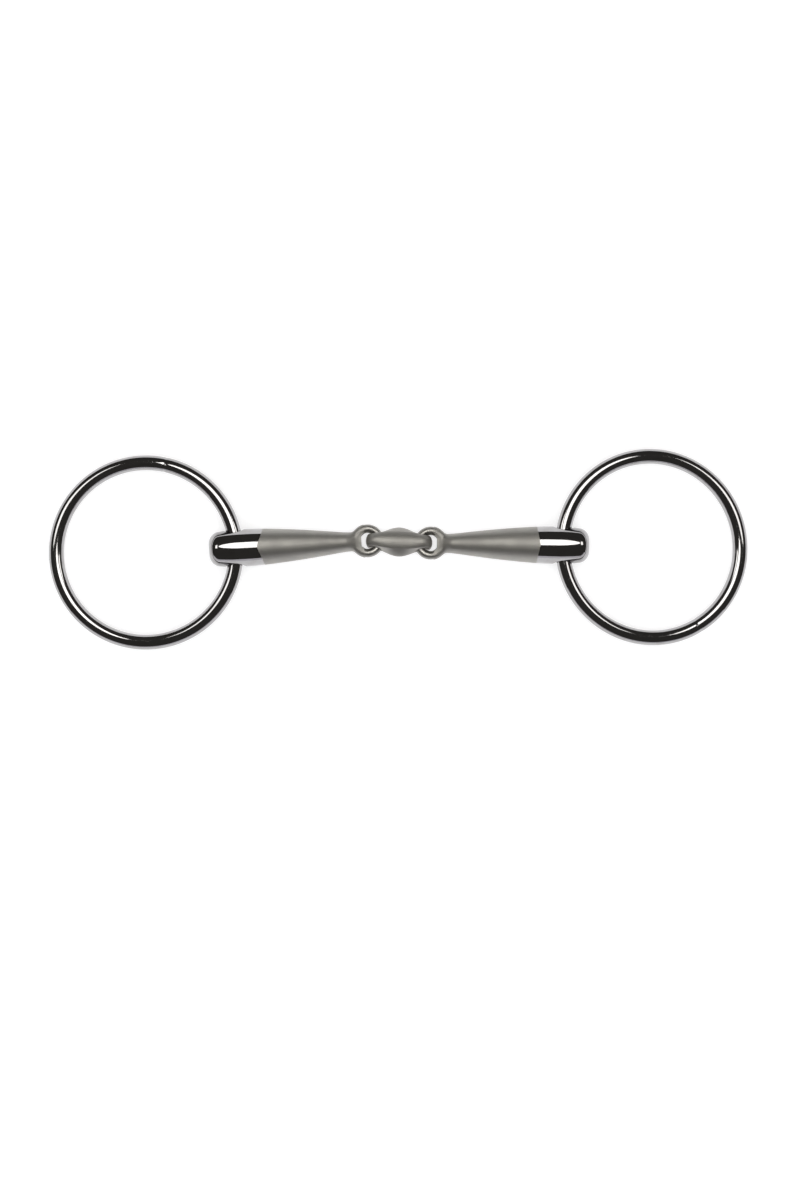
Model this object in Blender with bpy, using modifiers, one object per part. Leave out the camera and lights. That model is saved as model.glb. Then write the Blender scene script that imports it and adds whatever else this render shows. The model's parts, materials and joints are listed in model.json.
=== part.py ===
"""Loose-ring snaffle bit with a lozenge link.

Five pieces of solid steel, lying on a flat surface at z = 0: a lozenge link in the middle, two
cannons hooked onto it by their eyes, and a loose ring threaded through each cannon's outer end.

World frame: +X to the right cheek, +Y to the far side, +Z up, origin on the surface under the
middle of the bit. A cannon and its ring share one kind of local frame: +X inboard, +Y along the
ring hole, +Z up out of the eye. Units are metres.
"""

import math

import bmesh
import bpy
from mathutils import Matrix, Vector

# Rings: round wire bent to a circle and welded, each a little out of round.
RING_RADIUS = 0.03515
RING_WIRE = 0.0029
OUT_OF_ROUND = {"left": 0.0052, "right": 0.011}
LONG_AXIS_ANGLES = {"left": 0.0, "right": math.radians(119)}
BORE_HALF_LENGTH = 0.0070       # half the length of wire that the barrel hides

# Cannons: turned barrel and shank, eye forged flat at the inner end.
CANNON_LENGTH = 0.05170         # ring bore to eye, centre to centre
NOSE_LENGTH = 0.0100            # ring bore to outer end
NOSE_ROUNDING = 0.0045
BARREL_RADIUS = 0.0073
BARREL_END = 0.0072             # ring bore to the start of the taper
TAPER_SLOPE = 0.055             # where the taper starts; it steepens along a parabola
SHANK_RADIUS = 0.0036
SHANK_LENGTH = 0.0080           # eye's centre to the end of the taper
RING_BORE = 0.0037
EYE_RADIUS = 0.00475            # to the middle of the eye's wire
EYE_WIRE = 0.00165
EYE_BORE = 0.00315
EYE_FLAT = 0.00245              # eye's centre to the flat on the outboard side of its hole
NECK_FILLET = 0.003             # in plan, between shank and eye
FORGING_START = 0.0088          # eye's centre to where the shank begins to thin
FORGING_END = 0.0030
TURNED_END = 0.0015

# Lozenge link: a bar with a flank bulging from each side, symmetric about its middle.
LINK_HALF_LENGTH = 0.013
LINK_HALF_WIDTH = 0.00575
LINK_HALF_HEIGHT = 0.00415
LINK_TIP_HALF_WIDTH = 0.0025
LINK_TIP_LENGTH = 0.0015        # elliptical in plan
LINK_WAIST = 0.0125             # from the middle to where the bulge has died away
LINK_BULGE_POWER = 1.2
CROWN_SHARE = 0.57              # crown's part of the width in the middle
CROWN_SHARE_AT_TIP = 0.94
CROWN_SAG_SHARE = 0.26          # fall of the crown to its soft edge, as part of the half height
FLANK_POWER = 0.8
LINK_BORE = 0.0023
EYE_SPACING = 0.02466           # between the two cannon eyes
LINK_TILT = math.radians(14)    # the body is turned forward on its level bores

# How the bit lies.
LINK_YAW = math.radians(-2.0)
CANNON_YAWS = {"left": math.radians(3.3), "right": math.radians(178.95)}
RING_YAWS = {"left": math.radians(2.6), "right": math.radians(178.95)}
OUTWARD = {"left": -1, "right": 1}

# Mesh density.
TURN_STEPS = 40
NOSE_STEPS = 6
TAPER_STEPS = 7
NECK_STEPS = 8
EYE_STEPS = 40
EYE_WIRE_STEPS = 12
RING_STEPS = 72
RING_WIRE_STEPS = 12
SMOOTH_ANGLE = math.radians(35)


def clear_scene():
    for obj in list(bpy.data.objects):
        bpy.data.objects.remove(obj, do_unlink=True)


def new_collection(name):
    collection = bpy.data.collections.new(name)
    bpy.context.scene.collection.children.link(collection)
    return collection


def move_to(obj, collection):
    for old in list(obj.users_collection):
        old.objects.unlink(obj)
    collection.objects.link(obj)


def steel(name, colour, roughness):
    material = bpy.data.materials.new(name)
    material.use_nodes = True
    shader = material.node_tree.nodes["Principled BSDF"]
    shader.inputs["Base Color"].default_value = (*colour, 1.0)
    shader.inputs["Metallic"].default_value = 1.0
    shader.inputs["Roughness"].default_value = roughness
    return material


def finish_part(obj, name, material, collection):
    obj.name = name
    obj.data.name = name
    obj.data.materials.clear()
    obj.data.materials.append(material)
    obj.data.shade_smooth()
    obj.data.set_sharp_from_angle(angle=SMOOTH_ANGLE)
    move_to(obj, collection)


def frame_at(point, yaw, tip):
    """A local frame at point, turned by yaw about Z, with its +X end tipped down by tip."""
    return Matrix.Translation(point) @ Matrix.Rotation(yaw, 4, "Z") @ Matrix.Rotation(tip, 4, "Y")


def attach(obj, parent):
    obj.parent = parent
    obj.matrix_parent_inverse = parent.matrix_world.inverted()


def smooth_step(value):
    value = min(max(value, 0.0), 1.0)
    return value * value * (3.0 - 2.0 * value)


# ---- cutters ---------------------------------------------------------------------------------


def as_cutter(obj, name, owner, collection):
    """Hide a tool body and place it in its owner's local frame."""
    obj.name = name
    obj.hide_render = True
    obj.display_type = "WIRE"
    obj.parent = owner
    move_to(obj, collection)
    return obj


def eye_cutter(name, owner, collection):
    """A round hole through the eye with one flat, on the side where the neck joins."""
    bpy.ops.mesh.primitive_cylinder_add(vertices=TURN_STEPS, radius=EYE_BORE, depth=4 * SHANK_RADIUS)
    cutter = bpy.context.object
    for vertex in cutter.data.vertices:
        vertex.co.x = max(vertex.co.x, -EYE_FLAT)
    return as_cutter(cutter, name, owner, collection)


def ring_bore_cutter(name, owner, collection):
    """A round hole across the barrel."""
    bpy.ops.mesh.primitive_cylinder_add(vertices=TURN_STEPS, radius=RING_BORE, depth=3 * BARREL_RADIUS)
    cutter = bpy.context.object
    across = Matrix.Rotation(math.radians(90), 4, "X")
    cutter.data.transform(Matrix.Translation((-CANNON_LENGTH, 0, 0)) @ across)
    return as_cutter(cutter, name, owner, collection)


def torus_tool(name, owner, collection, radius, wire, centre):
    bpy.ops.mesh.primitive_torus_add(
        major_radius=radius, minor_radius=wire,
        major_segments=EYE_STEPS, minor_segments=EYE_WIRE_STEPS)
    tool = bpy.context.object
    tool.data.transform(Matrix.Translation(centre))
    return as_cutter(tool, name, owner, collection)


def boolean(obj, tool, operation):
    modifier = obj.modifiers.new(tool.name, "BOOLEAN")
    modifier.operation = operation
    modifier.object = tool
    modifier.solver = "EXACT"


# ---- lozenge link ----------------------------------------------------------------------------


def link_bulge(x):
    """How far the flanks have swelled: 1 in the middle, 0 at the waist and beyond."""
    wave = 0.5 + 0.5 * math.cos(math.pi * min(abs(x) / LINK_WAIST, 1.0))
    return wave ** LINK_BULGE_POWER


def link_half_width(x):
    """Half the link's width in plan, with an elliptical tip."""
    width = LINK_TIP_HALF_WIDTH + (LINK_HALF_WIDTH - LINK_TIP_HALF_WIDTH) * link_bulge(x)
    into_tip = (abs(x) - (LINK_HALF_LENGTH - LINK_TIP_LENGTH)) / LINK_TIP_LENGTH
    return width * math.sqrt(1.0 - max(into_tip, 0.0) ** 2)


def link_half_height(x):
    """Half the link's height: a bar with fully rounded ends."""
    into_end = max(abs(x) - (LINK_HALF_LENGTH - LINK_HALF_HEIGHT), 0.0)
    return math.sqrt(LINK_HALF_HEIGHT ** 2 - into_end ** 2)


def link_section(x):
    """The outline across the link at x: a crown, a soft edge and a flank, four times over."""
    half_width = link_half_width(x)
    half_height = link_half_height(x)
    crown = half_width * (CROWN_SHARE_AT_TIP + (CROWN_SHARE - CROWN_SHARE_AT_TIP) * link_bulge(x))
    edge_height = half_height * (1.0 - CROWN_SAG_SHARE)
    quarter = []
    for share in (0.0, 0.25, 0.5, 0.75, 1.0):
        quarter.append((crown * share, half_height * (1.0 - CROWN_SAG_SHARE * share ** 2)))
    for share in (0.3, 0.6, 0.85):
        quarter.append((crown + (half_width - crown) * share, edge_height * (1.0 - share) ** FLANK_POWER))
    right = quarter + [(half_width, 0.0)] + [(y, -z) for y, z in reversed(quarter)]
    left = [(-y, z) for y, z in reversed(right[1:-1])]
    return right + left


def link_stations():
    """Lengthwise stations, closer together towards each tip."""
    shares = [0.0, 0.16, 0.32, 0.46, 0.58, 0.68, 0.77, 0.84, 0.89, 0.93, 0.965, 0.988]
    return [-LINK_HALF_LENGTH * s for s in reversed(shares[1:])] + [LINK_HALF_LENGTH * s for s in shares]


def make_link(material, parts, tools):
    mesh = bpy.data.meshes.new("lozenge_link")
    build = bmesh.new()
    rows = []
    for x in link_stations():
        rows.append([build.verts.new((x, y, z)) for y, z in link_section(x)])
    for row, after in zip(rows, rows[1:]):
        for i in range(len(row)):
            j = (i + 1) % len(row)
            build.faces.new((row[i], row[j], after[j], after[i]))
    for row, tip_x in ((rows[0], -LINK_HALF_LENGTH), (rows[-1], LINK_HALF_LENGTH)):
        tip = build.verts.new((tip_x, 0.0, 0.0))
        for i in range(len(row)):
            build.faces.new((row[i], row[(i + 1) % len(row)], tip))
    bmesh.ops.recalc_face_normals(build, faces=build.faces)
    build.to_mesh(mesh)
    build.free()
    mesh.transform(Matrix.Rotation(-LINK_TILT, 4, "X"))

    rest_height = -min(vertex.co.z for vertex in mesh.vertices)
    link = bpy.data.objects.new("lozenge_link", mesh)
    bpy.context.scene.collection.objects.link(link)
    link.matrix_world = frame_at((0.0, 0.0, rest_height), LINK_YAW, 0.0)
    for side, outward in OUTWARD.items():
        centre = (outward * EYE_SPACING / 2, 0.0, 0.0)
        clearance = torus_tool(f"{side}_eye_clearance", link, tools, EYE_RADIUS, LINK_BORE, centre)
        boolean(link, clearance, "DIFFERENCE")
    finish_part(link, "lozenge_link", material, parts)
    return link


# ---- cannons ---------------------------------------------------------------------------------


def cannon_profile():
    """(distance inboard of the ring bore, radius), from the eye end out to the nose."""
    profile = [(CANNON_LENGTH - TURNED_END, 0.0)]
    for step in range(NECK_STEPS + 1):
        back = TURNED_END + (SHANK_LENGTH - TURNED_END) * step / NECK_STEPS
        profile.append((CANNON_LENGTH - back, SHANK_RADIUS))
    span = CANNON_LENGTH - SHANK_LENGTH - BARREL_END
    bow = (BARREL_RADIUS - SHANK_RADIUS - TAPER_SLOPE * span) / span ** 2
    for step in range(TAPER_STEPS - 1, -1, -1):
        along = span * step / TAPER_STEPS
        profile.append((BARREL_END + along, BARREL_RADIUS - TAPER_SLOPE * along - bow * along ** 2))
    for step in range(NOSE_STEPS + 1):
        angle = math.radians(90) * step / NOSE_STEPS
        profile.append((
            NOSE_ROUNDING - NOSE_LENGTH - NOSE_ROUNDING * math.sin(angle),
            BARREL_RADIUS - NOSE_ROUNDING * (1.0 - math.cos(angle))))
    profile.append((-NOSE_LENGTH, 0.0))
    return profile


def turned_mesh(profile):
    """Turn a profile of (height, radius) points about Z."""
    mesh = bpy.data.meshes.new("profile")
    build = bmesh.new()
    points = [build.verts.new((radius, 0.0, height)) for height, radius in profile]
    for point, after in zip(points, points[1:]):
        build.edges.new((point, after))
    build.to_mesh(mesh)
    build.free()
    blank = bpy.data.objects.new("profile", mesh)
    bpy.context.scene.collection.objects.link(blank)
    screw = blank.modifiers.new("turn", "SCREW")
    screw.steps = TURN_STEPS
    screw.render_steps = TURN_STEPS
    screw.use_merge_vertices = True
    screw.merge_threshold = 0.00001
    bpy.context.view_layer.update()
    turned = bpy.data.meshes.new_from_object(blank.evaluated_get(bpy.context.evaluated_depsgraph_get()))
    bpy.data.objects.remove(blank, do_unlink=True)
    return turned


def neck_half_width(back):
    """Half the width in plan of the neck, at a distance back outboard from the eye's centre."""
    eye_outside = EYE_RADIUS + EYE_WIRE
    fillet_side = SHANK_RADIUS + NECK_FILLET
    fillet_back = math.sqrt((eye_outside + NECK_FILLET) ** 2 - fillet_side ** 2)
    tangent_back = fillet_back * eye_outside / (eye_outside + NECK_FILLET)
    if back >= fillet_back:
        return SHANK_RADIUS
    if back >= tangent_back:
        return fillet_side - math.sqrt(NECK_FILLET ** 2 - (fillet_back - back) ** 2)
    inside_eye = 0.96
    return inside_eye * math.sqrt(eye_outside ** 2 - back ** 2)


def neck_half_height(back):
    """Half the thickness of the neck: the round shank thins down to the eye's wire."""
    thinned = smooth_step((FORGING_START - back) / (FORGING_START - FORGING_END))
    return SHANK_RADIUS + (EYE_WIRE - SHANK_RADIUS) * thinned


def forge_neck(mesh):
    """Spread the inner end sideways and flatten it where the eye joins on."""
    for vertex in mesh.vertices:
        back = -vertex.co.x
        if back < FORGING_START:
            vertex.co.y *= neck_half_width(back) / SHANK_RADIUS
            vertex.co.z *= neck_half_height(back) / SHANK_RADIUS


def make_cannon(side, place, material, parts, tools):
    mesh = turned_mesh(cannon_profile())
    mesh.transform(Matrix.Translation((-CANNON_LENGTH, 0, 0)) @ Matrix.Rotation(math.radians(90), 4, "Y"))
    forge_neck(mesh)
    cannon = bpy.data.objects.new(f"{side}_cannon", mesh)
    bpy.context.scene.collection.objects.link(cannon)
    cannon.matrix_world = place

    eye_bore = eye_cutter(f"{side}_eye_bore", cannon, tools)
    boolean(cannon, eye_bore, "DIFFERENCE")
    eye_wire = torus_tool(f"{side}_eye_wire", cannon, tools, EYE_RADIUS, EYE_WIRE, (0, 0, 0))
    boolean(cannon, eye_wire, "UNION")
    ring_bore = ring_bore_cutter(f"{side}_ring_bore", cannon, tools)
    boolean(cannon, ring_bore, "DIFFERENCE")
    finish_part(cannon, f"{side}_cannon", material, parts)
    return cannon


# ---- rings -----------------------------------------------------------------------------------


def ring_half_length(side):
    """From the ring's middle to its wire, in line with the cannon."""
    return RING_RADIUS * (1.0 + OUT_OF_ROUND[side] * math.cos(2 * LONG_AXIS_ANGLES[side]))


def bore_to_ring_centre(side):
    """The wire inside the bore bows as far to one side of the bore's middle as to the other."""
    bow = RING_RADIUS - math.sqrt(RING_RADIUS ** 2 - BORE_HALF_LENGTH ** 2)
    return ring_half_length(side) - bow / 2


def make_ring(side, place, material, parts):
    """A ring whose origin is in the middle of the cannon's bore, with the ring outboard of it."""
    bpy.ops.mesh.primitive_torus_add(
        major_radius=RING_RADIUS, minor_radius=RING_WIRE,
        major_segments=RING_STEPS, minor_segments=RING_WIRE_STEPS)
    ring = bpy.context.object
    stretch = Matrix.Diagonal((1 + OUT_OF_ROUND[side], 1 - OUT_OF_ROUND[side], 1, 1))
    turn = Matrix.Rotation(LONG_AXIS_ANGLES[side], 4, "Z")
    ring.data.transform(turn @ stretch @ turn.inverted())
    ring.data.transform(Matrix.Translation((-bore_to_ring_centre(side), 0, 0)))
    ring.matrix_world = place
    finish_part(ring, f"{side}_ring", material, parts)
    return ring


# ---- how the pieces lie ----------------------------------------------------------------------


def cannon_tip(link_height):
    """How far the inner end hangs: the barrel's end rests on the surface and the eye in the link."""
    span = CANNON_LENGTH + EYE_RADIUS - BARREL_END
    return math.acos(link_height / math.hypot(BARREL_RADIUS, span)) - math.atan2(span, BARREL_RADIUS)


def ring_tip(side, bore_height):
    """How far the ring hangs: its outer rim rests on the surface."""
    far_rim = bore_to_ring_centre(side) + ring_half_length(side)
    return -math.asin((bore_height - RING_WIRE) / far_rim)


def lie(link_height):
    """The cannons' and rings' frames, with the link at the origin in plan."""
    tip = cannon_tip(link_height)
    places = {}
    for side, outward in OUTWARD.items():
        eye = Matrix.Rotation(LINK_YAW, 4, "Z") @ Vector((outward * EYE_SPACING / 2, 0.0, 0.0))
        eye.z = link_height + EYE_RADIUS * math.sin(tip)
        cannon = frame_at(eye, CANNON_YAWS[side], tip)
        bore = cannon @ Vector((-CANNON_LENGTH, 0.0, 0.0))
        places[side] = (cannon, frame_at(bore, RING_YAWS[side], ring_tip(side, bore.z)))
    return places


def plan_centre(rings):
    """The middle of the rings' bounding box in plan: they are the widest and deepest pieces."""
    points = [ring.matrix_world @ vertex.co for ring in rings for vertex in ring.data.vertices]
    middle = [(min(p[axis] for p in points) + max(p[axis] for p in points)) / 2 for axis in (0, 1)]
    return Vector((*middle, 0.0))


def main():
    clear_scene()
    parts = new_collection("snaffle_bit")
    tools = new_collection("cutters")
    satin = (0.50, 0.47, 0.44)
    bright = (0.63, 0.62, 0.61)

    link = make_link(steel("link_steel", satin, 0.36), parts, tools)
    cannons = []
    rings = []
    for side, (cannon_place, ring_place) in lie(link.matrix_world.translation.z).items():
        cannon_steel = steel(f"{side}_cannon_steel", satin, 0.36)
        ring_steel = steel(f"{side}_ring_steel", bright, 0.10)
        cannons.append(make_cannon(side, cannon_place, cannon_steel, parts, tools))
        rings.append(make_ring(side, ring_place, ring_steel, parts))

    to_origin = Matrix.Translation(-plan_centre(rings))
    for obj in (link, *cannons, *rings):
        obj.matrix_world = to_origin @ obj.matrix_world
    for cannon, ring in zip(cannons, rings):
        attach(cannon, link)
        attach(ring, cannon)


if __name__ == "__main__":
    main()
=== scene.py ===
"""The looks of the loose-ring snaffle bit: fine meshes, steel finishes, table, lights and camera.

Every CAD node is replaced by a finer mesh of the same piece. Cannons and rings are made in the
local frames of their CAD parts: +X inboard, +Y along the ring bore, +Z up. A cannon's origin is
its eye, a ring's is the middle of its bore and the link's is its own middle. Units are metres.
"""

import json
import math

import bmesh
import bpy
import numpy as np
from mathutils import Matrix, Vector


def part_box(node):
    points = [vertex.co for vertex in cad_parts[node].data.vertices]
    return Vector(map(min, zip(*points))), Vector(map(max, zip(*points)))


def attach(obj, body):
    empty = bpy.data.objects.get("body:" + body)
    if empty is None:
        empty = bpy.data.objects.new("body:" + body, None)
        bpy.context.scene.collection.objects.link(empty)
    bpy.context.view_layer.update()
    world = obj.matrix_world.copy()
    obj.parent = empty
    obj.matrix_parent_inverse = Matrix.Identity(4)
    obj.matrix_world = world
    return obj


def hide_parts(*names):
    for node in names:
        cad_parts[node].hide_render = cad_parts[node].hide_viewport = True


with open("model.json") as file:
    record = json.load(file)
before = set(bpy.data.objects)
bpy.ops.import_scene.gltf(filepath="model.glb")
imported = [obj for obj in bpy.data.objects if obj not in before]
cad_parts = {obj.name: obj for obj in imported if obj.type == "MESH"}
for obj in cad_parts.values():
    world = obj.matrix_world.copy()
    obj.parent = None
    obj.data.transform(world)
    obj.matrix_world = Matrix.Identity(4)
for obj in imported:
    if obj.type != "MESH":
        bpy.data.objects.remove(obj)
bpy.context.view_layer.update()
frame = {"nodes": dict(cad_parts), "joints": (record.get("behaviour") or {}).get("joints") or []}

JOINTS = {joint["name"]: joint for joint in frame["joints"]}
SIDES = ("left", "right")
UP = Vector((0, 0, 1))
MM = 0.001
TINY = 1e-12                    # keeps a division from failing

# Rings, as in the CAD.
RING_RADIUS = 35.15 * MM
RING_WIRE = 2.9 * MM
OUT_OF_ROUND = {"left": 0.0052, "right": 0.011}
LONG_AXIS_ANGLES = {"left": 0.0, "right": math.radians(119)}
BORE_HALF_LENGTH = 7.0 * MM

# Cannons, as in the CAD.
NOSE_LENGTH = 10.0 * MM
BARREL_RADIUS = 7.3 * MM
BARREL_END = 7.2 * MM
TAPER_SLOPE = 0.055
SHANK_RADIUS = 3.6 * MM
SHANK_LENGTH = 8.0 * MM
RING_BORE = 3.7 * MM
EYE_RADIUS = 4.75 * MM
EYE_WIRE = 1.65 * MM
EYE_BORE = 3.15 * MM
EYE_FLAT = 2.45 * MM
NECK_FILLET = 3.0 * MM
NECK_IN_EYE = 0.96              # of the eye's outline, where the neck runs into it
FORGING_START = 8.8 * MM
FORGING_END = 3.0 * MM
TURNED_END = 1.5 * MM

# Lozenge link, as in the CAD.
LINK_HALF_LENGTH = 13.0 * MM
LINK_HALF_WIDTH = 5.75 * MM
LINK_HALF_HEIGHT = 4.15 * MM
LINK_TIP_HALF_WIDTH = 2.5 * MM
LINK_TIP_LENGTH = 1.5 * MM
LINK_WAIST = 12.5 * MM
LINK_BULGE_POWER = 1.2
CROWN_SHARE = 0.57
CROWN_SHARE_AT_TIP = 0.94
CROWN_SAG_SHARE = 0.26
FLANK_POWER = 0.8
LINK_BORE = 2.3 * MM
LINK_TILT = math.radians(14)

# Edges that the CAD leaves sharp.
NOSE_START = 1.5 * MM           # inboard of the bore, where the barrel begins to bow in
NOSE_BOW_RADIUS = 52.0 * MM
NOSE_CORNER = 3.6 * MM
TAPER_EASE = 2.0 * MM
SHANK_EASE = 0.4 * MM
BORE_EDGE = 0.5 * MM
EYE_EDGE = 0.2 * MM
EYE_JOIN = 0.5 * MM

# Fineness of the meshes.
SEAM = 0.001 * MM               # CAD vertices nearer than this are one
CANNON_VOXEL = 0.16 * MM
PROJECTION_PASSES = 8
GRADIENT_STEP = 0.01 * MM
LEAN_STEP = 0.05 * MM
LEAST_SLOPE_SQUARED = 0.04      # so that no vertex is thrown far where a solid's value is flat
LINK_STATIONS = 90
LINK_SECTION_STEPS = 14
LINK_CUTTER_STEPS = (96, 40)    # around the eye's ring and around its wire
LINK_VOXEL = 0.10 * MM
LINK_SMOOTHING_PASSES = 3
LINK_SMOOTHING_FACTOR = 0.5
LINK_SMOOTHING_LOSS = 0.15 * MM  # taken off the side edges
RING_STEPS = 600
WIRE_STEPS = 48

# The weld of each ring, at an angle from inboard in the ring's own frame.
WELD_ANGLES = {"left": math.radians(75), "right": math.radians(122)}
WELD_WIDTH = math.radians(0.9)
WELD_DEPTH = 0.03               # of the wire's radius
GRINDING_WIDTH = 3.5 * WELD_WIDTH
GRINDING_DEPTH = 0.3 * WELD_DEPTH

# The polish ends in a shallow V round each cannon, its point on the crown.
POLISH_LENGTH = {"left": 8.3 * MM, "right": 8.7 * MM}
POLISH_SLANT = {"left": 0.42, "right": 0.24}
POLISH_POINT_ROUNDING = 0.6 * MM
POLISH_BORDER = 0.06 * MM       # half of the width over which it fades

# Steel.
POLISHED = (0.42, 0.415, 0.42, 1.0)
POLISHED_DULL = (0.37, 0.36, 0.36, 1.0)
SATIN = (0.435, 0.425, 0.40, 1.0)
SATIN_DARK = (0.40, 0.39, 0.37, 1.0)
POLISHED_ROUGHNESS = (0.035, 0.10)
MARKS_ROUGHNESS = 0.05          # on top of the polish
SATIN_ROUGHNESS = (0.52, 0.58)
GRAIN_ROUGHNESS = 0.02          # up and down from the satin
WORN_ROUGHNESS = 0.36           # of the eyes' free side, rubbed smooth by the link
LINES_ALONG_CANNON = (0.08, 1, 1)  # the noise is drawn out along X
POLISH_RELIEF = 0.03 * MM
POLISH_RELIEF_STRENGTH = 0.6
LINES_SHARE = 0.04              # of the relief's height
SATIN_RELIEF = 0.012 * MM
SATIN_RELIEF_STRENGTH = 0.5

# Table, lights and camera, in metres, watts and shares of full white.
TABLE_HALF_SIZE = 3.0
TABLE_COLOUR = (0.45, 0.45, 0.46, 1.0)
TABLE_ROUGHNESS = 0.9
TABLE_GLOW = 0.62
WHITE = (1.0, 1.0, 1.0)
WARM = (1.0, 0.985, 0.95)
COOL = (0.96, 0.94, 1.0)
STUDIO_COLOUR = (0.045, 0.043, 0.040, 1.0)
CAMERA_SENSOR = 36              # mm, as is the lens
CAMERA_LENS = 68.85
CAMERA_HEIGHT = 0.9
CAMERA_ASIDE = (0.36 * MM, -22.64 * MM)  # from halfway between the two eyes


# ---- frames of the pieces --------------------------------------------------------------------


def frame_from(origin, inboard, along_bore):
    """A local frame from its origin and its first two axes."""
    up = inboard.cross(along_bore)
    place = Matrix((inboard, along_bore, up)).transposed().to_4x4()
    place.translation = origin
    return place


def joint_point(name):
    return Vector(JOINTS[name]["pos_m"])


def cannon_frame(side):
    eye = joint_point(f"{side}_fold")
    inboard = (eye - joint_point(f"{side}_ring_swing")).normalized()
    return frame_from(eye, inboard, UP.cross(inboard).normalized())


def ring_frame(side):
    """The ring hangs from its bore with its far rim on the table."""
    bore = joint_point(f"{side}_ring_swing")
    bore_to_rim = bore_to_ring_centre(side) + ring_reach(side, math.pi)
    drop = math.asin((bore.z - RING_WIRE) / bore_to_rim)
    along_bore = Vector(JOINTS[f"{side}_ring_swing"]["axis"])
    sideways = UP.cross(joint_point(f"{side}_fold") - bore)
    along_bore = along_bore * math.copysign(1.0, sideways.dot(along_bore))
    level = along_bore.cross(UP)
    return frame_from(bore, level * math.cos(drop) + UP * math.sin(drop), along_bore)


def link_frame():
    """Level and halfway between the eyes, at the middle of the link's height."""
    left = joint_point("left_fold")
    right = joint_point("right_fold")
    low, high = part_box("lozenge_link")
    middle = (left + right) / 2
    middle.z = (low.z + high.z) / 2
    across = right - left
    across.z = 0
    across.normalize()
    return frame_from(middle, across, UP.cross(across))


def ring_reach(side, angle):
    """From the ring's middle to its wire, at an angle in the ring's own frame."""
    return RING_RADIUS * (1.0 + OUT_OF_ROUND[side] * math.cos(2 * (angle - LONG_AXIS_ANGLES[side])))


def bore_to_ring_centre(side):
    """The straight bore holds an arc of wire, whose bow is shared out between its two sides."""
    bow = RING_RADIUS - math.sqrt(RING_RADIUS ** 2 - BORE_HALF_LENGTH ** 2)
    return ring_reach(side, 0.0) - bow / 2


CANNON_LENGTH = (joint_point("left_fold") - joint_point("left_ring_swing")).length


# ---- meshes ----------------------------------------------------------------------------------


def new_object(name, mesh, place):
    obj = bpy.data.objects.new(name, mesh)
    bpy.context.scene.collection.objects.link(obj)
    obj.matrix_world = place
    return obj


def mesh_from_rows(name, rows, tips=()):
    """A skin over rows of points, each row a closed loop.

    The first and the last row close on two tips, or on each other when there are none.
    """
    mesh = bpy.data.meshes.new(name)
    build = bmesh.new()
    loops = [[build.verts.new(point) for point in row] for row in rows]
    pairs = list(zip(loops, loops[1:]))
    if not tips:
        pairs.append((loops[-1], loops[0]))
    count = len(loops[0])
    for row, after in pairs:
        for i in range(count):
            j = (i + 1) % count
            build.faces.new((row[i], row[j], after[j], after[i]))
    for tip, row in zip(tips, (loops[0], loops[-1])):
        point = build.verts.new(tip)
        for i in range(count):
            build.faces.new((row[i], row[(i + 1) % count], point))
    bmesh.ops.recalc_face_normals(build, faces=build.faces)
    build.to_mesh(mesh)
    build.free()
    return mesh


def applied(obj):
    """The object's mesh with its modifiers applied; the object itself is removed."""
    bpy.context.view_layer.update()
    graph = bpy.context.evaluated_depsgraph_get()
    mesh = bpy.data.meshes.new_from_object(obj.evaluated_get(graph))
    bpy.data.objects.remove(obj, do_unlink=True)
    return mesh


def remeshed(mesh, voxel):
    """An even fine skin over a closed mesh."""
    obj = new_object("blank", mesh, Matrix.Identity(4))
    remesh = obj.modifiers.new("skin", "REMESH")
    remesh.mode = "VOXEL"
    remesh.voxel_size = voxel
    return applied(obj)


def node_mesh(node, place):
    """A CAD node's mesh in a local frame, its seams welded."""
    mesh = frame["nodes"][node].data.copy()
    mesh.transform(place.inverted())
    build = bmesh.new()
    build.from_mesh(mesh)
    bmesh.ops.remove_doubles(build, verts=build.verts, dist=SEAM)
    build.to_mesh(mesh)
    build.free()
    return mesh


def gradient(solid, points):
    slopes = []
    for axis in range(3):
        shift = np.zeros(3)
        shift[axis] = GRADIENT_STEP
        rise = solid(points + shift) - solid(points - shift)
        slopes.append(rise / (2 * GRADIENT_STEP))
    return np.stack(slopes, axis=1)


def draw_onto(mesh, solid, reach):
    """Move every vertex onto the smooth surface where solid() is zero, and take its normals.

    No vertex moves farther than reach in one pass.
    """
    points = np.empty(len(mesh.vertices) * 3)
    mesh.vertices.foreach_get("co", points)
    points = points.reshape(-1, 3)
    for _ in range(PROJECTION_PASSES):
        slope = gradient(solid, points)
        slope_squared = np.maximum((slope ** 2).sum(axis=1), LEAST_SLOPE_SQUARED)
        move = slope * (solid(points) / slope_squared)[:, None]
        length = np.linalg.norm(move, axis=1)
        points = points - move * np.minimum(1.0, reach / np.maximum(length, TINY))[:, None]
    mesh.vertices.foreach_set("co", points.ravel())
    mesh.shade_smooth()
    normals = gradient(solid, points)
    normals /= np.maximum(np.linalg.norm(normals, axis=1), TINY)[:, None]
    mesh.normals_split_custom_set_from_vertices(normals.tolist())
    mesh.update()


# ---- cannons ---------------------------------------------------------------------------------

# Each solid gives a point's distance from its surface, or nearly that, below zero inside.


def meet(a, b, radius):
    """Where two solids overlap, with a rounded edge."""
    corner = np.hypot(np.maximum(a + radius, 0), np.maximum(b + radius, 0))
    return np.minimum(np.maximum(a, b), -radius) + corner


def join(a, b, radius):
    """Two solids together, with a filleted corner."""
    corner = np.hypot(np.maximum(radius - a, 0), np.maximum(radius - b, 0))
    return np.maximum(np.minimum(a, b), radius) - corner


def eased(value, ease):
    """Zero below zero and value above it, turning softly over about ease."""
    return (value + np.sqrt(value ** 2 + ease ** 2)) / 2


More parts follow.
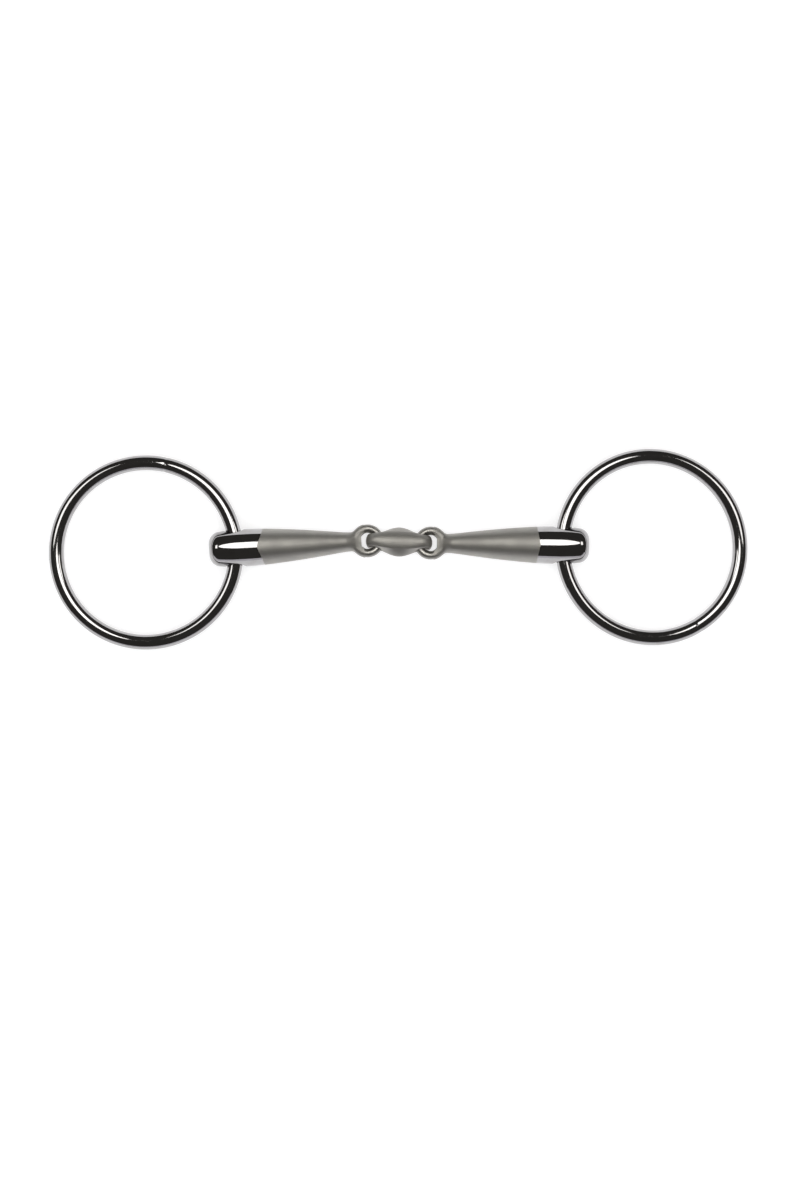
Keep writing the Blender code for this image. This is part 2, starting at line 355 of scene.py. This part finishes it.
def turned_radius(inboard):
    """The cannon's radius at a distance inboard of its bore: bowed nose, barrel, taper, shank."""
    into_nose = np.maximum(NOSE_START - inboard, 0)
    nose = BARREL_RADIUS - into_nose ** 2 / (2 * NOSE_BOW_RADIUS)
    span = CANNON_LENGTH - SHANK_LENGTH - BARREL_END
    bow = (BARREL_RADIUS - SHANK_RADIUS - TAPER_SLOPE * span) / span ** 2
    along = eased(inboard - BARREL_END, TAPER_EASE)
    taper = nose - TAPER_SLOPE * along - bow * along ** 2
    return SHANK_RADIUS + eased(taper - SHANK_RADIUS, SHANK_EASE)


def neck_half_width(back):
    """Half the neck's width in plan at a distance back from the eye, filleted into the eye."""
    eye_outside = EYE_RADIUS + EYE_WIRE
    fillet_side = SHANK_RADIUS + NECK_FILLET
    fillet_back = math.sqrt((eye_outside + NECK_FILLET) ** 2 - fillet_side ** 2)
    tangent_back = fillet_back * eye_outside / (eye_outside + NECK_FILLET)
    into_fillet = np.clip(fillet_back - back, 0, NECK_FILLET)
    fillet = fillet_side - np.sqrt(NECK_FILLET ** 2 - into_fillet ** 2)
    round_eye = np.sqrt(np.maximum(eye_outside ** 2 - np.clip(back, 0, eye_outside) ** 2, 0))
    return np.where(back >= tangent_back, fillet, NECK_IN_EYE * round_eye)


def neck_half_height(back):
    """Half the neck's height, forged down from the round shank to the eye's wire."""
    share = np.clip((FORGING_START - back) / (FORGING_START - FORGING_END), 0, 1)
    return SHANK_RADIUS + (EYE_WIRE - SHANK_RADIUS) * share ** 2 * (3 - 2 * share)


def cannon_solid(points):
    """Turned barrel and forged neck with the eye, both holes cut."""
    x, y, z = points.T
    inboard = x + CANNON_LENGTH
    radius = turned_radius(inboard)
    wide = neck_half_width(-x) / SHANK_RADIUS
    high = neck_half_height(-x) / SHANK_RADIUS
    body = (np.hypot(y / wide, z / high) - radius) * np.minimum(wide, high)
    rise = turned_radius(inboard + LEAN_STEP) - turned_radius(inboard - LEAN_STEP)
    body = body / np.hypot(1, rise / (2 * LEAN_STEP))
    body = meet(body, -inboard - NOSE_LENGTH, NOSE_CORNER)
    body = np.maximum(body, x + TURNED_END)

    eye_hole = np.maximum(np.hypot(x, y) - EYE_BORE, -EYE_FLAT - x)
    eye_wire = np.hypot(np.hypot(x, y) - EYE_RADIUS, z) - EYE_WIRE
    ring_hole = np.hypot(inboard, z) - RING_BORE
    with_eye = join(meet(body, -eye_hole, EYE_EDGE), eye_wire, EYE_JOIN)
    return meet(with_eye, -ring_hole, BORE_EDGE)


def make_cannon(side):
    place = cannon_frame(side)
    mesh = remeshed(node_mesh(f"{side}_cannon", place), CANNON_VOXEL)
    draw_onto(mesh, cannon_solid, CANNON_VOXEL)
    return new_object(f"{side}_cannon_steel", mesh, place)


# ---- lozenge link ----------------------------------------------------------------------------


def link_bulge(x):
    """One at the link's middle, falling to zero at its waists."""
    wave = 0.5 + 0.5 * math.cos(math.pi * min(abs(x) / LINK_WAIST, 1.0))
    return wave ** LINK_BULGE_POWER


def link_half_width(x):
    swell = LINK_HALF_WIDTH + LINK_SMOOTHING_LOSS - LINK_TIP_HALF_WIDTH
    width = LINK_TIP_HALF_WIDTH + swell * link_bulge(x)
    into_tip = (abs(x) - (LINK_HALF_LENGTH - LINK_TIP_LENGTH)) / LINK_TIP_LENGTH
    return width * math.sqrt(1.0 - max(into_tip, 0.0) ** 2)


def link_half_height(x):
    into_end = max(abs(x) - (LINK_HALF_LENGTH - LINK_HALF_HEIGHT), 0.0)
    return math.sqrt(LINK_HALF_HEIGHT ** 2 - into_end ** 2)


def link_section(x):
    """The outline across the link at x: a crown, a soft edge and a flank, four times over."""
    half_width = link_half_width(x)
    half_height = link_half_height(x)
    crown = half_width * (CROWN_SHARE_AT_TIP + (CROWN_SHARE - CROWN_SHARE_AT_TIP) * link_bulge(x))
    edge_height = half_height * (1.0 - CROWN_SAG_SHARE)
    quarter = []
    for step in range(LINK_SECTION_STEPS + 1):
        share = step / LINK_SECTION_STEPS
        quarter.append((crown * share, half_height * (1.0 - CROWN_SAG_SHARE * share ** 2)))
    for step in range(1, LINK_SECTION_STEPS):
        share = step / LINK_SECTION_STEPS
        flank = edge_height * (1.0 - share) ** FLANK_POWER
        quarter.append((crown + (half_width - crown) * share, flank))
    right = quarter + [(half_width, 0.0)] + [(y, -z) for y, z in reversed(quarter)]
    left = [(-y, z) for y, z in reversed(right[1:-1])]
    return right + left


def link_body():
    """The link without its eyes, rolled about its length."""
    rows = []
    for station in range(1, LINK_STATIONS):
        x = -LINK_HALF_LENGTH * math.cos(math.pi * station / LINK_STATIONS)
        rows.append([(x, y, z) for y, z in link_section(x)])
    tips = [(-LINK_HALF_LENGTH, 0, 0), (LINK_HALF_LENGTH, 0, 0)]
    body = mesh_from_rows("link", rows, tips=tips)
    body.transform(Matrix.Rotation(-LINK_TILT, 4, "X"))
    return new_object("link_blank", body, Matrix.Identity(4))


def make_link():
    """The link, its two bores cut round the wires of the cannons' eyes and its edges softened."""
    place = link_frame()
    link = link_body()
    cutters = []
    for joint in ("left_fold", "right_fold"):
        eye = place.inverted() @ joint_point(joint)
        bpy.ops.mesh.primitive_torus_add(
            location=(eye.x, eye.y, 0), major_radius=EYE_RADIUS, minor_radius=LINK_BORE,
            major_segments=LINK_CUTTER_STEPS[0], minor_segments=LINK_CUTTER_STEPS[1])
        cutter = bpy.context.object
        cutters.append(cutter)
        cut = link.modifiers.new(joint, "BOOLEAN")
        cut.operation = "DIFFERENCE"
        cut.solver = "EXACT"
        cut.object = cutter
    mesh = applied(link)
    for cutter in cutters:
        bpy.data.objects.remove(cutter, do_unlink=True)
    soft = new_object("link_soft", remeshed(mesh, LINK_VOXEL), Matrix.Identity(4))
    smooth = soft.modifiers.new("soft_edges", "SMOOTH")
    smooth.factor = LINK_SMOOTHING_FACTOR
    smooth.iterations = LINK_SMOOTHING_PASSES
    mesh = applied(soft)
    mesh.shade_smooth()
    return new_object("lozenge_link_steel", mesh, place)


# ---- rings -----------------------------------------------------------------------------------


def wire_radius(side, angle):
    """Round wire, ground down a little round its weld and with a narrow groove at it."""
    off = (angle - WELD_ANGLES[side] + math.pi) % (2 * math.pi) - math.pi
    groove = math.exp(-(off / WELD_WIDTH) ** 2)
    grinding = math.exp(-(off / GRINDING_WIDTH) ** 2)
    return RING_WIRE * (1.0 - WELD_DEPTH * groove - GRINDING_DEPTH * grinding)


def make_ring(side):
    """Wire bent to a slightly oval ring."""
    stretch = Matrix.Diagonal((1 + OUT_OF_ROUND[side], 1 - OUT_OF_ROUND[side], 1)).to_3x3()
    turn = Matrix.Rotation(LONG_AXIS_ANGLES[side], 3, "Z")
    oval = turn @ stretch @ turn.inverted()
    centre = Vector((-bore_to_ring_centre(side), 0, 0))
    rows = []
    for step in range(RING_STEPS):
        angle = 2 * math.pi * step / RING_STEPS
        out = Vector((math.cos(angle), math.sin(angle), 0))
        middle = centre + oval @ (out * RING_RADIUS)
        wire = wire_radius(side, angle)
        row = []
        for wire_step in range(WIRE_STEPS):
            around = 2 * math.pi * wire_step / WIRE_STEPS
            row.append(middle + (out * math.cos(around) + UP * math.sin(around)) * wire)
        rows.append(row)
    mesh = mesh_from_rows(f"{side}_ring", rows)
    mesh.shade_smooth()
    return new_object(f"{side}_ring_steel", mesh, ring_frame(side))


# ---- steel -----------------------------------------------------------------------------------


class Nodes:
    """A little help to write node trees."""

    MIX_SOCKETS = {"FLOAT": (2, 3, 0), "RGBA": (6, 7, 2)}   # two inputs and the output

    def __init__(self, name):
        self.material = bpy.data.materials.new(name)
        self.material.use_nodes = True
        self.tree = self.material.node_tree
        self.shader = self.tree.nodes["Principled BSDF"]

    def add(self, kind, **settings):
        node = self.tree.nodes.new(kind)
        for key, value in settings.items():
            setattr(node, key, value)
        return node

    def link(self, output, socket):
        self.tree.links.new(output, socket)

    def feed(self, socket, value):
        """Link a socket to another node's output, or give it a plain value."""
        if isinstance(value, bpy.types.NodeSocket):
            self.link(value, socket)
        else:
            socket.default_value = value

    def position(self):
        return self.add("ShaderNodeTexCoord").outputs["Object"]

    def math(self, operation, *values):
        node = self.add("ShaderNodeMath", operation=operation)
        for socket, value in zip(node.inputs, values):
            self.feed(socket, value)
        return node.outputs[0]

    def length(self, first, second):
        """How long a flat vector is, from its two parts."""
        squares = self.math("ADD", self.math("POWER", first, 2.0), self.math("POWER", second, 2.0))
        return self.math("SQRT", squares)

    def noise(self, coordinates, scale, detail, roughness=0.5, stretch=(1, 1, 1)):
        mapping = self.add("ShaderNodeMapping")
        mapping.inputs["Scale"].default_value = stretch
        self.link(coordinates, mapping.inputs["Vector"])
        noise = self.add("ShaderNodeTexNoise")
        noise.inputs["Scale"].default_value = scale
        noise.inputs["Detail"].default_value = detail
        noise.inputs["Roughness"].default_value = roughness
        self.link(mapping.outputs["Vector"], noise.inputs["Vector"])
        return noise.outputs["Fac"]

    def ranged(self, value, low, high, to_low=0.0, to_high=1.0, kind="LINEAR"):
        """A value between low and high, carried over to between to_low and to_high."""
        node = self.add("ShaderNodeMapRange", interpolation_type=kind)
        self.link(value, node.inputs["Value"])
        ends = {"From Min": low, "From Max": high, "To Min": to_low, "To Max": to_high}
        for name, number in ends.items():
            node.inputs[name].default_value = number
        return node.outputs["Result"]

    def mix(self, kind, share, first, second):
        """From the first to the second of two colours (RGBA) or numbers (FLOAT)."""
        node = self.add("ShaderNodeMix", data_type=kind)
        from_socket, to_socket, result = self.MIX_SOCKETS[kind]
        self.link(share, node.inputs["Factor"])
        self.feed(node.inputs[from_socket], first)
        self.feed(node.inputs[to_socket], second)
        return node.outputs[result]

    def finish(self, colour, roughness, height, relief, strength):
        """Bare metal with a relief of this height."""
        bump = self.add("ShaderNodeBump")
        bump.inputs["Strength"].default_value = strength
        bump.inputs["Distance"].default_value = relief
        self.link(height, bump.inputs["Height"])
        self.shader.inputs["Metallic"].default_value = 1.0
        self.link(colour, self.shader.inputs["Base Color"])
        self.link(roughness, self.shader.inputs["Roughness"])
        self.link(bump.outputs["Normal"], self.shader.inputs["Normal"])
        return self.material


def polished_look(nodes, position, grain=(1, 1, 1)):
    """Mirror polish with faint haze, handling marks and fine polishing lines along the grain."""
    haze = nodes.noise(position, scale=260, detail=4)
    marks = nodes.noise(position, scale=900, detail=6, stretch=grain)
    marks = nodes.ranged(marks, 0.60, 0.72, to_high=MARKS_ROUGHNESS)
    colour = nodes.mix("RGBA", nodes.ranged(haze, 0.42, 0.72), POLISHED, POLISHED_DULL)
    roughness = nodes.math("ADD", nodes.ranged(haze, 0.3, 0.75, *POLISHED_ROUGHNESS), marks)
    waves = nodes.noise(position, scale=190, detail=2)
    lines = nodes.noise(position, scale=2600, detail=2, stretch=grain)
    height = nodes.math("ADD", waves, nodes.math("MULTIPLY", lines, LINES_SHARE))
    return colour, roughness, height


def satin_look(nodes, position):
    """Fine bead-blasted steel: an even matt grain, a little cloudy."""
    clouds = nodes.noise(position, scale=150, detail=4)
    grain = nodes.noise(position, scale=5200, detail=3, roughness=0.7)
    colour = nodes.mix("RGBA", nodes.ranged(clouds, 0.35, 0.70), SATIN, SATIN_DARK)
    roughness = nodes.math("ADD", nodes.ranged(clouds, 0.3, 0.7, *SATIN_ROUGHNESS),
                           nodes.ranged(grain, 0.3, 0.7, -GRAIN_ROUGHNESS, GRAIN_ROUGHNESS))
    return colour, roughness, grain


def ring_material(side):
    nodes = Nodes(f"{side}_ring_polish")
    colour, roughness, height = polished_look(nodes, nodes.position())
    return nodes.finish(colour, roughness, height, POLISH_RELIEF, POLISH_RELIEF_STRENGTH)


def link_material():
    nodes = Nodes("satin_link")
    colour, roughness, grain = satin_look(nodes, nodes.position())
    return nodes.finish(colour, roughness, grain, SATIN_RELIEF, SATIN_RELIEF_STRENGTH)


def satin_start(nodes, side, x, y):
    """Zero on the polished outer end, one on the satin, the border between them a shallow V."""
    aside = nodes.length(y, POLISH_POINT_ROUNDING)
    border = nodes.math("ADD", nodes.math("MULTIPLY", aside, POLISH_SLANT[side]),
                        POLISH_LENGTH[side] - CANNON_LENGTH)
    past_border = nodes.math("SUBTRACT", x, border)
    return nodes.ranged(past_border, -POLISH_BORDER, POLISH_BORDER, kind="SMOOTHSTEP")


def eye_wear(nodes, x, y):
    """One inside the eye's free side, fading over its wire and towards the neck."""
    inside = nodes.ranged(nodes.length(x, y), EYE_RADIUS, EYE_RADIUS + EYE_WIRE, 1.0, 0.0,
                          kind="SMOOTHSTEP")
    free_side = nodes.ranged(x, -EYE_BORE, EYE_WIRE, kind="SMOOTHSTEP")
    return nodes.math("MULTIPLY", inside, free_side)


def cannon_material(side):
    """Satin steel with a polished outer end and a worn eye."""
    nodes = Nodes(f"{side}_cannon_satin_and_polish")
    position = nodes.position()
    axes = nodes.add("ShaderNodeSeparateXYZ")
    nodes.link(position, axes.inputs["Vector"])
    x, y = axes.outputs["X"], axes.outputs["Y"]
    satin = satin_start(nodes, side, x, y)
    bright, smooth, waves = polished_look(nodes, position, LINES_ALONG_CANNON)
    matt, rough, grain = satin_look(nodes, position)
    rough = nodes.mix("FLOAT", eye_wear(nodes, x, y), rough, WORN_ROUGHNESS)
    grain = nodes.math("MULTIPLY", grain, SATIN_RELIEF / POLISH_RELIEF)
    return nodes.finish(
        nodes.mix("RGBA", satin, bright, matt), nodes.mix("FLOAT", satin, smooth, rough),
        nodes.mix("FLOAT", satin, waves, grain), POLISH_RELIEF, POLISH_RELIEF_STRENGTH)


# ---- table, lights and camera ----------------------------------------------------------------


def make_table():
    mesh = bpy.data.meshes.new("table")
    corners = [(x * TABLE_HALF_SIZE, y * TABLE_HALF_SIZE, 0)
               for x, y in ((-1, -1), (1, -1), (1, 1), (-1, 1))]
    mesh.from_pydata(corners, [], [(0, 1, 2, 3)])
    table = new_object("table", mesh, Matrix.Identity(4))
    nodes = Nodes("white_table")
    nodes.shader.inputs["Base Color"].default_value = TABLE_COLOUR
    nodes.shader.inputs["Roughness"].default_value = TABLE_ROUGHNESS
    nodes.shader.inputs["Emission Color"].default_value = (*WHITE, 1.0)
    nodes.shader.inputs["Emission Strength"].default_value = TABLE_GLOW
    mesh.materials.append(nodes.material)


def softbox(name, place, size, power, target=None, colour=WARM, shape="RECTANGLE"):
    """An area light that faces its target, or straight down. The size is its width and depth."""
    light = bpy.data.lights.new(name, "AREA")
    light.shape = shape
    light.size, light.size_y = size
    light.energy = power
    light.color = colour
    obj = bpy.data.objects.new(name, light)
    bpy.context.scene.collection.objects.link(obj)
    obj.location = place
    direction = Vector(target or (place[0], place[1], 0.0)) - obj.location
    obj.rotation_euler = direction.to_track_quat("-Z", "Y").to_euler()
    return obj


def make_lights():
    """Softboxes behind the bit, a long low panel in front and a fill that only the table shows."""
    softbox("middle_softbox", place=(0.0, 0.15, 0.50), size=(0.40, 0.33), power=1.02,
            shape="ELLIPSE")
    for side, x in zip(SIDES, (-0.46, 0.46)):
        softbox(f"{side}_softbox", place=(x, 0.14, 0.50), size=(0.32, 0.22), power=0.55)
    fill = softbox("table_fill", place=(0.0, -0.45, 1.30), size=(2.0, 1.2), power=20.0,
                   colour=WHITE)
    fill.visible_glossy = False
    panel = softbox("front_panel", place=(0.0, -0.90, 0.125), size=(3.0, 0.25), power=1.9,
                    target=(0.0, 0.0, 0.125), colour=COOL)
    panel.visible_diffuse = False
    world = bpy.data.worlds.new("dim_studio")
    bpy.context.scene.world = world
    world.use_nodes = True
    background = world.node_tree.nodes["Background"]
    background.inputs["Color"].default_value = STUDIO_COLOUR
    background.inputs["Strength"].default_value = 1.0


def make_camera():
    """Looks straight down, a little in front of the link."""
    camera = bpy.data.cameras.new("camera")
    camera.sensor_width = CAMERA_SENSOR
    camera.lens = CAMERA_LENS
    obj = bpy.data.objects.new("camera", camera)
    bpy.context.scene.collection.objects.link(obj)
    middle = (joint_point("left_fold") + joint_point("right_fold")) / 2
    obj.location = (middle.x + CAMERA_ASIDE[0], middle.y + CAMERA_ASIDE[1], CAMERA_HEIGHT)
    bpy.context.scene.camera = obj
    bpy.context.scene.view_settings.view_transform = "Standard"


# ---- the bit ---------------------------------------------------------------------------------


def put_on(piece, material, body, node):
    piece.data.materials.clear()
    piece.data.materials.append(material)
    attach(piece, body)
    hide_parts(node)


put_on(make_link(), link_material(), "lozenge", "lozenge_link")
for side in SIDES:
    put_on(make_cannon(side), cannon_material(side), f"{side}_arm", f"{side}_cannon")
    put_on(make_ring(side), ring_material(side), f"{side}_cheek", f"{side}_ring")
make_table()
make_lights()
make_camera()
